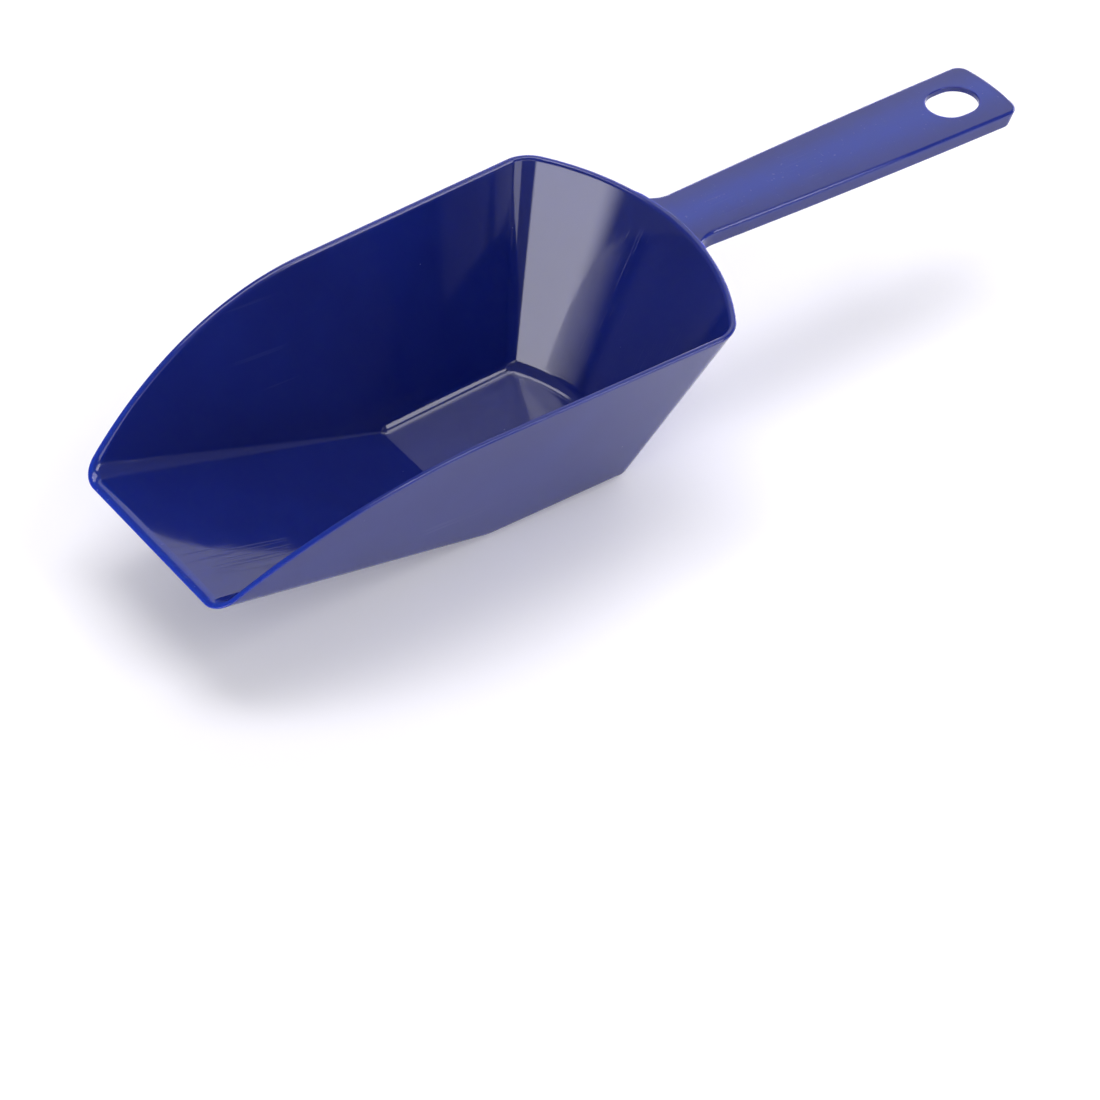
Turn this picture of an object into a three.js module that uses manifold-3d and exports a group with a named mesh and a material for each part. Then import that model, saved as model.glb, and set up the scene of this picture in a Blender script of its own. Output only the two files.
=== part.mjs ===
// A one-handed feed scoop in moulded plastic: an open-fronted bowl with a flat patch to stand on,
// and a channel-section handle that runs back from the bowl's rim to a hang hole.
// Millimetres, +Z up, +Y from the lip to the handle. The origin is near the centre of the flat
// patch's underside. The bowl and the handle are two bodies, with a small gap along the handle's root.
import * as THREE from "three";
import { mergeVertices } from "three/addons/utils/BufferGeometryUtils.js";
import Module from "manifold-3d";

const wasm = await Module();
wasm.setup();

// Bowl: overall shape. Widths and lengths are of the outer surface.
const WALL = 2;
const FLAT_FRONT = -26.1; // where the flat patch meets the ramp
const FLAT_BACK = 24.6; // where the back corners would meet the floor
const FLAT_HALF_WIDTH = 30.2;
const SIDE_TAPER = 0.031; // half width gained for each millimetre towards the back
const SIDE_LEAN = 0.382; // half width gained for each millimetre up
const BACK_LEAN = 0.3693; // how far the back corners run back for each millimetre up
const RIM_HEIGHT = 61.7;
const LIP_Y = -126.8;
const LIP_HEIGHT = 28.7;

// Bowl: the back wall bulges more at the rim than at the floor, and its corners open out too.
const BULGE_AT_FLOOR = 9;
const BULGE_AT_RIM = 19;
const CORNER_AT_FLOOR = 5.8;
const CORNER_AT_RIM = 11;

// Bowl: fillets along the foot of the walls, inside and outside. Inside, the ramp's fillet is
// nearly sharp where it meets the flat patch and opens out towards the lip.
const FLAT_FILLET = 4;
const BACK_FILLET = 6;
const RAMP_FILLET_AT_FLAT = 1;
const RAMP_FILLET_AT_LIP = 7;
const OUTER_FILLET_AT_FLAT = 5;
const OUTER_FILLET_AT_LIP = 9.5;
const KINK_BLEND = 0.7; // half the length over which the flat turns into the ramp

// Bowl: the rim is level at the back, and a Bezier curve takes it down to the lip.
const RIM_CURVE_START = -38;
const RIM_CURVE_LEAD = 29.6;
const RIM_END_LEAD = 33.9;
const RIM_END_SLOPE = THREE.MathUtils.degToRad(39.4);

// Handle: a plate with a skirt round three sides, in its own frame. Its y runs along the plate
// from the middle of the back rim, and z = 0 is its top face.
const HANDLE_LENGTH = 127;
const HANDLE_DROOP = THREE.MathUtils.degToRad(1.744);
const HANDLE_WAIST = 11.65; // half width at the root, before the flare
const HANDLE_END_HALF_WIDTH = 15.05;
const HANDLE_BELLY = 0.65; // how far the sides bow out from a straight taper
const FLARE_RADIUS = 11;
const FLARE_LENGTH = 6;
const END_BULGE = 1.3;
const END_CORNER = 4.5;
const SKIRT_DEPTH = 6;
const SKIRT_SIDE_DRAFT = 0.9;
const SKIRT_END_DRAFT = 2.2;
const PLATE = 2;
const TOP_EDGE = 0.8;

// The hang hole: a slot with round ends, through the plate only.
const HOLE_RADIUS = 7.4;
const HOLE_STRAIGHT = 3;
const HOLE_FROM_ROOT = 110;

// Fit, and how finely curves are cut up.
const GAP = 0.3;
const ROOT_REACH = 8; // how far the untrimmed handle runs into the bowl
const OVERSHOOT = 20;
const FILLET_STEPS = 5;
const CORNER_STEPS = 8;
const BACK_STEPS = 20;
const LEVEL_STEPS = 8;
const RIM_STEPS = 20;
const SIDE_STEPS = 12;

// Colour and finish of the plastic.
const PLASTIC = { color: 0x1a237e, roughness: 0.25, metalness: 0 };

const RAMP_SLOPE = LIP_HEIGHT / (FLAT_FRONT - LIP_Y);
const FRONT_END = LIP_Y - OVERSHOOT;
const TOP_END = RIM_HEIGHT + OVERSHOOT;
const SIDE_RUN = WALL * Math.hypot(1, SIDE_LEAN); // wall thickness measured level, at a side
const BACK_RUN = WALL * Math.hypot(1, BACK_LEAN + BULGE_AT_RIM / RIM_HEIGHT / 2);
const BACK_RIM_Y = FLAT_BACK + BACK_LEAN * RIM_HEIGHT + BULGE_AT_RIM;

const { lerp, clamp, mapLinear } = THREE.MathUtils;

// Numbers from first to last in equal steps.
function steps(first, last, count) {
  return Array.from({ length: count + 1 }, (_, i) => lerp(first, last, i / count));
}

// The points of an arc of a circle, as [x, y] pairs.
function arc(x, y, radius, from, to, count) {
  return steps(from, to, count).map((a) => [x + radius * Math.cos(a), y + radius * Math.sin(a)]);
}

// The right half of an outline, any points on the middle line, and the half's mirror image.
function mirrored(half, middle = []) {
  const other = half.map(([x, y]) => [-x, y]).reverse();
  return [...half, ...middle, ...other];
}

// A closed geometry through rings that have the same number of points and no twist. Rings turn
// anticlockwise when seen from the last ring.
function loft(rings) {
  const count = rings[0].length;
  const positions = rings.flat().flatMap((p) => [p.x, p.y, p.z]);
  const index = [];
  for (let r = 0; r + 1 < rings.length; r += 1) {
    for (let i = 0; i < count; i += 1) {
      const a = r * count + i;
      const b = r * count + ((i + 1) % count);
      index.push(a, b, b + count);
      index.push(a, b + count, a + count);
    }
  }
  const lastRing = (rings.length - 1) * count;
  for (const [a, b, c] of capTriangles(rings[0])) index.push(c, b, a);
  for (const [a, b, c] of capTriangles(rings.at(-1))) index.push(lastRing + a, lastRing + b, lastRing + c);
  const geometry = new THREE.BufferGeometry();
  geometry.setAttribute("position", new THREE.Float32BufferAttribute(positions, 3));
  geometry.setIndex(index);
  return geometry;
}

// The triangles that fill a flat ring, found in the ring's own plane.
function capTriangles(ring) {
  const normal = new THREE.Vector3();
  ring.forEach((p, i) => normal.add(p.clone().cross(ring[(i + 1) % ring.length])));
  const turn = new THREE.Quaternion().setFromUnitVectors(normal.normalize(), new THREE.Vector3(0, 0, 1));
  const flat = ring.map((p) => p.clone().applyQuaternion(turn));
  return THREE.ShapeUtils.triangulateShape(flat.map((p) => new THREE.Vector2(p.x, p.y)), []);
}

// A three.js geometry as a manifold-3d solid, and back.
function solid(geometry) {
  const bare = geometry.clone();
  bare.deleteAttribute("normal");
  bare.deleteAttribute("uv");
  const merged = mergeVertices(bare, 1e-4);
  const vertProperties = new Float32Array(merged.attributes.position.array);
  const triVerts = new Uint32Array(merged.index.array);
  return new wasm.Manifold(new wasm.Mesh({ numProp: 3, vertProperties, triVerts }));
}

function geometryOf(manifold) {
  const { vertProperties, triVerts } = manifold.getMesh();
  const geometry = new THREE.BufferGeometry();
  geometry.setAttribute("position", new THREE.BufferAttribute(vertProperties, 3));
  geometry.setIndex(new THREE.BufferAttribute(triVerts, 1));
  return geometry;
}

// The outer surface of the floor at a distance y from the origin: flat, then the ramp.
function floorHeight(y) {
  return Math.max(0, (FLAT_FRONT - y) * RAMP_SLOPE);
}

// The radius of the fillet at the foot of a side. Inside, it jumps where the ramp meets the flat.
function filletRadius(y, inside) {
  const along = clamp(mapLinear(y, FLAT_FRONT, LIP_Y, 0, 1), 0, 1);
  if (!inside) return lerp(OUTER_FILLET_AT_FLAT, OUTER_FILLET_AT_LIP, along);
  if (y > FLAT_FRONT) return FLAT_FILLET;
  return lerp(RAMP_FILLET_AT_FLAT, RAMP_FILLET_AT_LIP, along);
}

// One cross-section of the trough between the sides, drawn in by inset all round: leaning sides,
// a floor, and a fillet between them. Seen from the front, it turns anticlockwise.
function troughSection(y, inset) {
  const halfWidth = FLAT_HALF_WIDTH + SIDE_TAPER * y - (inset / WALL) * SIDE_RUN;
  const floor = floorHeight(y) + inset;
  const radius = filletRadius(y, inset > 0);
  const turn = Math.PI / 2 - Math.atan(SIDE_LEAN);
  const corner = halfWidth + SIDE_LEAN * floor;
  const centreX = corner - radius * Math.tan(turn / 2);
  const fillet = arc(centreX, floor + radius, radius, -Math.PI / 2, turn - Math.PI / 2, FILLET_STEPS);
  const half = [[halfWidth + SIDE_LEAN * TOP_END, TOP_END], ...fillet.reverse()];
  return mirrored(half).map(([x, z]) => new THREE.Vector3(x, y, z)).reverse();
}

function trough(inset) {
  const beforeKink = FLAT_FRONT + KINK_BLEND;
  const afterKink = FLAT_FRONT - KINK_BLEND;
  const stations = [BACK_RIM_Y + OVERSHOOT, beforeKink, afterKink, LIP_Y, FRONT_END];
  return solid(loft(stations.map((y) => troughSection(y, inset))));
}

// A plan outline at height z: sides, round corners and the bulging back wall, drawn in by inset.
// The corner circle touches the side line and the back wall's circle from inside both.
function planOutline(z, inset, footIn) {
  const up = z / RIM_HEIGHT;
  const sideX = FLAT_HALF_WIDTH + SIDE_LEAN * z;
  const cornerY = FLAT_BACK + BACK_LEAN * z;
  const cornerX = sideX + SIDE_TAPER * cornerY;
  const bulge = lerp(BULGE_AT_FLOOR, BULGE_AT_RIM, up);
  const backRadius = (cornerX ** 2 + bulge ** 2) / (2 * bulge);
  const backCentre = cornerY + bulge - backRadius - footIn;
  const wallIn = (inset / WALL) * BACK_RUN;
  const cornerRadius = lerp(CORNER_AT_FLOOR, CORNER_AT_RIM, up);
  const reach = backRadius - cornerRadius;
  const lineX = sideX + SIDE_TAPER * backCentre - cornerRadius;
  const a = 1 + SIDE_TAPER ** 2;
  const b = lineX * SIDE_TAPER;
  const along = (-b + Math.sqrt(b * b - a * (lineX ** 2 - reach ** 2))) / a;
  const centreX = lineX + SIDE_TAPER * along;
  const centreY = backCentre + along;
  const start = -Math.atan(SIDE_TAPER);
  const end = Math.atan2(along, centreX);
  const corner = arc(centreX, centreY, cornerRadius - wallIn, start, end, CORNER_STEPS);
  const back = arc(0, backCentre, backRadius - wallIn, end, Math.PI / 2, BACK_STEPS / 2);
  const front = [sideX + SIDE_TAPER * FRONT_END - wallIn, FRONT_END];
  const half = [front, ...corner, ...back.slice(1, -1)];
  const middle = [0, backCentre + backRadius - wallIn];
  return mirrored(half, [middle]).map(([x, y]) => new THREE.Vector3(x, y, z));
}

// Everything in front of the back wall, between the floor and above the rim. The lowest levels
// draw the wall's foot in along its fillet.
function inFrontOfBackWall(inset) {
  const floor = inset;
  const radius = inset ? BACK_FILLET : OUTER_FILLET_AT_FLAT;
  const lean = BACK_LEAN + BULGE_AT_FLOOR / RIM_HEIGHT;
  const turn = Math.PI / 2 - Math.atan(lean);
  const tangent = radius * Math.tan(turn / 2);
  const foot = steps(0, turn, FILLET_STEPS).map((angle) => {
    const rise = radius * (1 - Math.cos(angle));
    const footIn = tangent + lean * rise - radius * Math.sin(angle);
    return planOutline(floor + rise, inset, footIn);
  });
  const footTop = floor + radius * (1 - Math.cos(turn));
  const wall = steps(footTop, TOP_END, LEVEL_STEPS).slice(1);
  return solid(loft([...foot, ...wall.map((z) => planOutline(z, inset, 0))]));
}

// The side profile below the rim: level at the back, then down along the curve and past the lip.
function belowRim() {
  const profile = new THREE.Shape();
  const endDirection = new THREE.Vector2(Math.cos(RIM_END_SLOPE), Math.sin(RIM_END_SLOPE));
  const lip = new THREE.Vector2(LIP_Y, LIP_HEIGHT);
  const lead = lip.clone().addScaledVector(endDirection, RIM_END_LEAD);
  const past = lip.clone().addScaledVector(endDirection, -OVERSHOOT);
  profile.moveTo(past.x, -OVERSHOOT);
  profile.lineTo(BACK_RIM_Y + OVERSHOOT, -OVERSHOOT);
  profile.lineTo(BACK_RIM_Y + OVERSHOOT, RIM_HEIGHT);
  profile.lineTo(RIM_CURVE_START, RIM_HEIGHT);
  profile.bezierCurveTo(RIM_CURVE_START - RIM_CURVE_LEAD, RIM_HEIGHT, lead.x, lead.y, lip.x, lip.y);
  profile.lineTo(past.x, past.y);
  const width = 4 * (FLAT_HALF_WIDTH + SIDE_LEAN * RIM_HEIGHT);
  const prism = new THREE.ExtrudeGeometry(profile, {
    depth: width,
    bevelEnabled: false,
    curveSegments: RIM_STEPS,
  });
  const across = new THREE.Vector3(1, 0, 0);
  const alongY = new THREE.Vector3(0, 1, 0);
  const upZ = new THREE.Vector3(0, 0, 1);
  prism.translate(0, 0, -width / 2);
  prism.applyMatrix4(new THREE.Matrix4().makeBasis(alongY, upZ, across));
  return solid(prism);
}

function bowlEnvelope() {
  return trough(0).intersect(inFrontOfBackWall(0));
}

function bowl() {
  const hollow = trough(WALL).intersect(inFrontOfBackWall(WALL));
  return geometryOf(bowlEnvelope().subtract(hollow).intersect(belowRim()));
}

// Half the handle's width at a distance along it.
function handleHalfWidth(along) {
  const t = clamp(along / HANDLE_LENGTH, 0, 1);
  const flareIn = clamp(FLARE_LENGTH - along, 0, FLARE_RADIUS * Math.SQRT1_2);
  const flare = FLARE_RADIUS - Math.sqrt(FLARE_RADIUS ** 2 - flareIn ** 2);
  return lerp(HANDLE_WAIST, HANDLE_END_HALF_WIDTH, t) + 4 * HANDLE_BELLY * t * (1 - t) + flare;
}

// The handle's plan outline at height z, drawn in at the sides and at the end. The root end
// reaches into the bowl's wall, where it is trimmed away.
function handleRing(z, sideIn, endIn) {
  const end = HANDLE_LENGTH - endIn;
  const corner = END_CORNER - Math.min(sideIn, END_CORNER / 2);
  const sideEnd = end - END_BULGE - corner;
  const width = HANDLE_END_HALF_WIDTH - sideIn;
  const rootSteps = steps(-ROOT_REACH, FLARE_LENGTH, SIDE_STEPS / 2);
  const sideSteps = steps(FLARE_LENGTH, sideEnd, SIDE_STEPS).slice(1, -1);
  const side = [...rootSteps, ...sideSteps].map((y) => [handleHalfWidth(y) - sideIn, y]);
  const endRadius = (width ** 2 + END_BULGE ** 2) / (2 * END_BULGE);
  const reach = endRadius - corner;
  const centreX = width - corner;
  const centreY = end - endRadius + Math.sqrt(reach ** 2 - centreX ** 2);
  const endAngle = Math.acos(centreX / reach);
  const round = arc(centreX, centreY, corner, 0, endAngle, CORNER_STEPS);
  const tip = arc(0, end - endRadius, endRadius, endAngle, Math.PI / 2, FILLET_STEPS);
  const half = [...side, ...round, ...tip.slice(1, -1)];
  return mirrored(half, [[0, end]]).map(([x, y]) => new THREE.Vector3(x, y, z));
}

function handlePlate() {
  const rounded = steps(0, Math.PI / 2, FILLET_STEPS).map((angle) => {
    const inset = TOP_EDGE * (1 - Math.sin(Math.PI / 2 - angle));
    const drop = TOP_EDGE * (1 - Math.sin(angle));
    return handleRing(-drop, inset, inset);
  });
  const foot = handleRing(-SKIRT_DEPTH, SKIRT_SIDE_DRAFT, SKIRT_END_DRAFT);
  return solid(loft([foot, ...rounded]));
}

function handleChannel() {
  const sideIn = WALL + (SKIRT_SIDE_DRAFT * PLATE) / SKIRT_DEPTH;
  const endIn = WALL + (SKIRT_END_DRAFT * PLATE) / SKIRT_DEPTH;
  const open = handleRing(-2 * SKIRT_DEPTH, sideIn, endIn);
  const ceiling = handleRing(-PLATE, sideIn, endIn);
  return solid(loft([open, ceiling]));
}

function hangHole() {
  const slot = new THREE.Shape();
  const front = HOLE_FROM_ROOT - HOLE_STRAIGHT / 2;
  const back = HOLE_FROM_ROOT + HOLE_STRAIGHT / 2;
  slot.absarc(0, back, HOLE_RADIUS, 0, Math.PI);
  slot.absarc(0, front, HOLE_RADIUS, Math.PI, 2 * Math.PI);
  const depth = 4 * PLATE;
  const cutter = new THREE.ExtrudeGeometry(slot, {
    depth,
    bevelEnabled: false,
    curveSegments: BACK_STEPS,
  });
  cutter.translate(0, 0, -depth / 2);
  return solid(cutter);
}

// The bowl's outer shape, grown by the gap, in the handle's own frame: it trims the root.
function rootTrim(toRow) {
  const grown = bowlEnvelope().translate([0, GAP, 0]);
  const envelope = geometryOf(grown);
  envelope.applyMatrix4(toRow.clone().invert());
  return solid(envelope);
}

function handle(toRow) {
  const channel = handlePlate().subtract(handleChannel());
  return geometryOf(channel.subtract(hangHole()).subtract(rootTrim(toRow)));
}

function part(name, geometry) {
  const mesh = new THREE.Mesh(geometry, new THREE.MeshStandardMaterial(PLASTIC));
  geometry.computeVertexNormals();
  mesh.name = name;
  return mesh;
}

const handlePlace = new THREE.Object3D();
handlePlace.position.set(0, BACK_RIM_Y, RIM_HEIGHT);
handlePlace.rotation.x = -HANDLE_DROOP;
handlePlace.updateMatrix();
handlePlace.add(part("handle", handle(handlePlace.matrix)));

const scoop = new THREE.Group();
scoop.add(part("bowl", bowl()), handlePlace);

export default scoop;
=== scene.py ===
import math

import bmesh
import bpy
from mathutils import Matrix, Quaternion, Vector


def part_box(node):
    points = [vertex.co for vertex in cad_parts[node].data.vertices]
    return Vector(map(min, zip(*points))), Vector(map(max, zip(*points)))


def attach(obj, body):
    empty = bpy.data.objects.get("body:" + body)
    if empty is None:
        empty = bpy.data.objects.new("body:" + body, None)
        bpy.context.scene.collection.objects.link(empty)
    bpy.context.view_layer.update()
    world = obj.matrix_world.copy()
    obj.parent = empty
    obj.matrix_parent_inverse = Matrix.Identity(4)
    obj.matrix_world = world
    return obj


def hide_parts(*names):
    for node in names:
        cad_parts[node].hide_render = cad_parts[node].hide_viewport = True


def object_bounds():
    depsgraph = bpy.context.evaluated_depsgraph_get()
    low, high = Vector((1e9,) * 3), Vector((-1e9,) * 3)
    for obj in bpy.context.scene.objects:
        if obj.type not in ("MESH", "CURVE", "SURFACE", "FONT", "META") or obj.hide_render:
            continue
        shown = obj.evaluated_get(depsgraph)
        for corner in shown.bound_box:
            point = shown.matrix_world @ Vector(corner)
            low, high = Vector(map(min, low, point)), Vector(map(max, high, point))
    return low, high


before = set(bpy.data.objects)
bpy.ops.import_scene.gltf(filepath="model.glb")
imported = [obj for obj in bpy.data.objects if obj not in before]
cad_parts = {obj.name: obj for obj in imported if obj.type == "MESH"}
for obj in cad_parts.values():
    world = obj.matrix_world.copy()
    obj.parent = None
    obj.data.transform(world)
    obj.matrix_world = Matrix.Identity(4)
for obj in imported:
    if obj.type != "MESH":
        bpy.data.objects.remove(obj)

cad_low, cad_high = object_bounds()

# The shapes are in millimetres, in the CAD frame, until put_mesh turns them into metres. The
# plastic's marks, the floor, the lights and the camera are in metres.
MM = 0.001
bowl_low, bowl_high = (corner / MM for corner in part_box("bowl"))

# Bowl, as in the CAD model. Widths are of the outer surface.
WALL = 2.0
LEVEL_WALL = 2.15  # the same wall, measured level through its lean
FLAT_FRONT = -26.1
FLAT_BACK = 24.6
FLAT_HALF_WIDTH = 30.2
SIDE_TAPER = 0.031
SIDE_LEAN = 0.382
BACK_LEAN = 0.3693
RIM_HEIGHT = bowl_high.z
LIP_Y = bowl_low.y
LIP_HEIGHT = 28.7
RAMP_SLOPE = LIP_HEIGHT / (FLAT_FRONT - LIP_Y)
BULGE_AT_FLOOR = 9.0
BULGE_AT_RIM = 19.0
CORNER_AT_FLOOR = 5.8
CORNER_AT_RIM = 11.0
FLAT_FILLET = 4.0
BACK_FILLET = 6.0
RAMP_FILLET_AT_FLAT = 1.0
RAMP_FILLET_AT_LIP = 7.0
OUTER_FILLET_AT_FLAT = 5.0
OUTER_FILLET_AT_LIP = 9.5
BACK_RIM_Y = FLAT_BACK + BACK_LEAN * RIM_HEIGHT + BULGE_AT_RIM
RIM_CURVE_START = -38.0
RIM_CURVE_LEAD = 29.6
RIM_END_LEAD = 33.9
RIM_END_SLOPE = math.radians(39.4)
RIM_PAST_LIP = 20.0

# Bowl, finer than the CAD model: the rounding of the rim and of the two kinks between the flat
# and the ramp.
INNER_EDGE = 0.75
INNER_EDGE_AT_LIP = 2.0
LIP_EDGE_LENGTH = 22.0
OUTER_EDGE = 0.8
OUTER_EDGE_AT_HANDLE = 0.12
HANDLE_EDGE_START = 1.3  # how far the bulging back rim has drawn in at the handle's sides
ROUNDED_SHARE = 0.47  # the most of the cut face that the rounding of one edge may take
INNER_KINK = 0.25
OUTER_KINK = 1.5
FILLET_JUMP = 1.6

# Handle, as in the CAD model, in its own frame: y along it from the middle of the back rim, and
# z = 0 at its top.
HANDLE_LENGTH = 127.0
HANDLE_DROOP = math.radians(1.744)
HANDLE_WAIST = 11.65
HANDLE_END_HALF_WIDTH = 15.05
HANDLE_BELLY = 0.65
FLARE_RADIUS = 11.0
FLARE_LENGTH = 6.0
END_BULGE = 1.3
END_CORNER = 4.5
SKIRT_DEPTH = 6.0
SKIRT_SIDE_DRAFT = 0.9
SKIRT_END_DRAFT = 2.2
PLATE = 2.0
HOLE_RADIUS = 7.4
HOLE_STRAIGHT = 3.0
HOLE_FROM_ROOT = 110.0

# Handle, finer than the CAD model: its rounded edges, its hollow underside and its crown.
TOP_EDGE = 1.0
SKIRT_WALL = 1.8
FOOT_EDGE = 0.5
CEILING_FILLET = 1.2
HOLE_EDGE = 0.35
CROWN = 0.25
ROOT_DEPTH = 1.1  # how far the handle's root runs into the thickness of the bowl's back wall
ROOT_STEP_DOWN = 0.12  # the handle's top starts just under the rim

# How finely the bowl's mesh is cut up, over one half of it.
RIM_CURVE_STEPS = 160
FLOOR_LINES = 20
CORNER_COLUMNS = 12
FILLET_ROWS = 10
FILLET_SHARE = 0.6  # the most of a short column that the fillet's rows may take
WALL_ROWS = 16
TOP_ROWS = (7.0, 4.6, 3.2, 2.2, 1.4, 0.7, 0.0)  # how far below the rim's rounding
LIP_COLUMNS = 14
LIP_CORNER_LENGTH = 5.0
LIP_SHIFT_FADE = 7.5  # how far from the lip the inner columns draw level with the outer ones
KINK_COLUMNS = (-2.4, -1.5, -1, -0.6, -0.25, 0, 0.25, 0.5, 0.75, 1, 1.3, 1.6, 2.2)
LONGEST_STEP = 2.3
STEP_GROWTH = 1.15
EDGE_STEPS = 5

# How finely the handle's mesh is cut up, over one half of it.
ROOT_STATIONS = 14
GRIP_STATIONS = 30
HOLE_STATIONS = 14
ROOT_ZONE = 9.0
HOLE_ZONE = 94.0
END_CORNER_STEPS = 10
END_STEPS = 12
CROSS_LINES = 14
SKIRT_EDGE_STEPS = 6
SKIRT_ROWS = (0.3, 0.6, 0.9)
HOLE_RINGS = 10
RING_CROWDING = 1.3  # above 1, the rings lie closer together towards the hang hole
HOLE_EDGE_STEPS = 4

# Accuracy. The frame's points are 32-bit numbers.
ROUNDING_ERROR = 1e-4
SMALL_STEP = 1e-3
SMALL_SHARE = 5e-5  # the same along a corner or the back, as a share of it
LIP_MARGIN = 0.01  # how far behind the lip's edge its normal is taken
BISECTION_ROUNDS = 45
LIP_SEARCH = 20.0  # the floor meets the rim's edge nearer the lip than this
ROOT_ROUNDS = 6
WELD = 2e-6  # in metres

# How much painted glow there is at the plastic's edges and along the handle's middle, from 0 to 1:
# painted light standing in for light that passes through the thin plastic. Each point keeps its
# own for the material, which also uses it to put the nicks at the edges.
PAINTED_GLOW_AND_NICK_LAYER = "edge"
PAINTED_GLOW_FADE = 0.9  # how far from the rounding of an edge it reaches
PAINTED_GLOW_START = 0.3  # of it is left where the rounding starts
PAINTED_GLOW_SIDE_SHARE = 0.15  # of the lip's, on the rest of the rim
LIP_GLOW_LENGTH = 60.0  # how far from the lip it has sunk to that share
PAINTED_HANDLE_EDGE_GLOW = 0.2
# Painted glow along the middle of the handle, for light passing through the thin plate.
PAINTED_PLATE_GLOW = 0.55  # along the middle of the handle
PLATE_GLOW_WIDTH = 0.95  # of the handle's half width


def mix(a, b, t):
    return a + (b - a) * t


def clamp(t, low=0.0, high=1.0):
    return max(low, min(high, t))


def smooth(t):
    t = clamp(t)
    return t * t * (3 - 2 * t)


def bisect(function, low, high):
    """Where a function that rises from below zero to above zero crosses it."""
    for _ in range(BISECTION_ROUNDS):
        middle = (low + high) / 2
        if function(middle) < 0:
            low = middle
        else:
            high = middle
    return (low + high) / 2


# ---------------------------------------------------------------------------------- the rim cut


def rim_curve():
    """Points along the side profile of the rim, from the level part down to past the lip, with
    the slope at each."""
    end = Vector((LIP_Y, LIP_HEIGHT))
    direction = Vector((math.cos(RIM_END_SLOPE), math.sin(RIM_END_SLOPE)))
    p0 = Vector((RIM_CURVE_START, RIM_HEIGHT))
    p1 = p0 - Vector((RIM_CURVE_LEAD, 0))
    p2 = end + direction * RIM_END_LEAD
    points = []
    for i in range(RIM_CURVE_STEPS + 1):
        t = i / RIM_CURVE_STEPS
        u = 1 - t
        p = p0 * u**3 + p1 * 3 * u * u * t + p2 * 3 * u * t * t + end * t**3
        d = (p1 - p0) * u * u + (p2 - p1) * 2 * u * t + (end - p2) * t * t
        points.append((p, math.atan2(-d.y, -d.x)))
    points.append((end - direction * RIM_PAST_LIP, RIM_END_SLOPE))
    return points


RIM_CURVE = rim_curve()


def rim_slope(y):
    """The slope angle of the rim's side profile at y."""
    if y >= RIM_CURVE_START:
        return 0.0
    for (a, slope_a), (b, slope_b) in zip(RIM_CURVE, RIM_CURVE[1:]):
        if b.x <= y <= a.x:
            return mix(slope_a, slope_b, (y - a.x) / (b.x - a.x))
    return RIM_END_SLOPE


def rim_height(y, below=0.0):
    """The height of the rim's side profile at y, moved down square to itself by below."""
    if y >= RIM_CURVE_START:
        return RIM_HEIGHT - below
    last = None
    for point, slope in RIM_CURVE:
        moved = (point.x + below * math.sin(slope), point.y - below * math.cos(slope))
        if last and moved[0] <= y <= last[0]:
            return mix(last[1], moved[1], (y - last[0]) / (moved[0] - last[0]))
        last = moved
    return last[1]


# --------------------------------------------------------------------- the surfaces of the bowl


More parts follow.
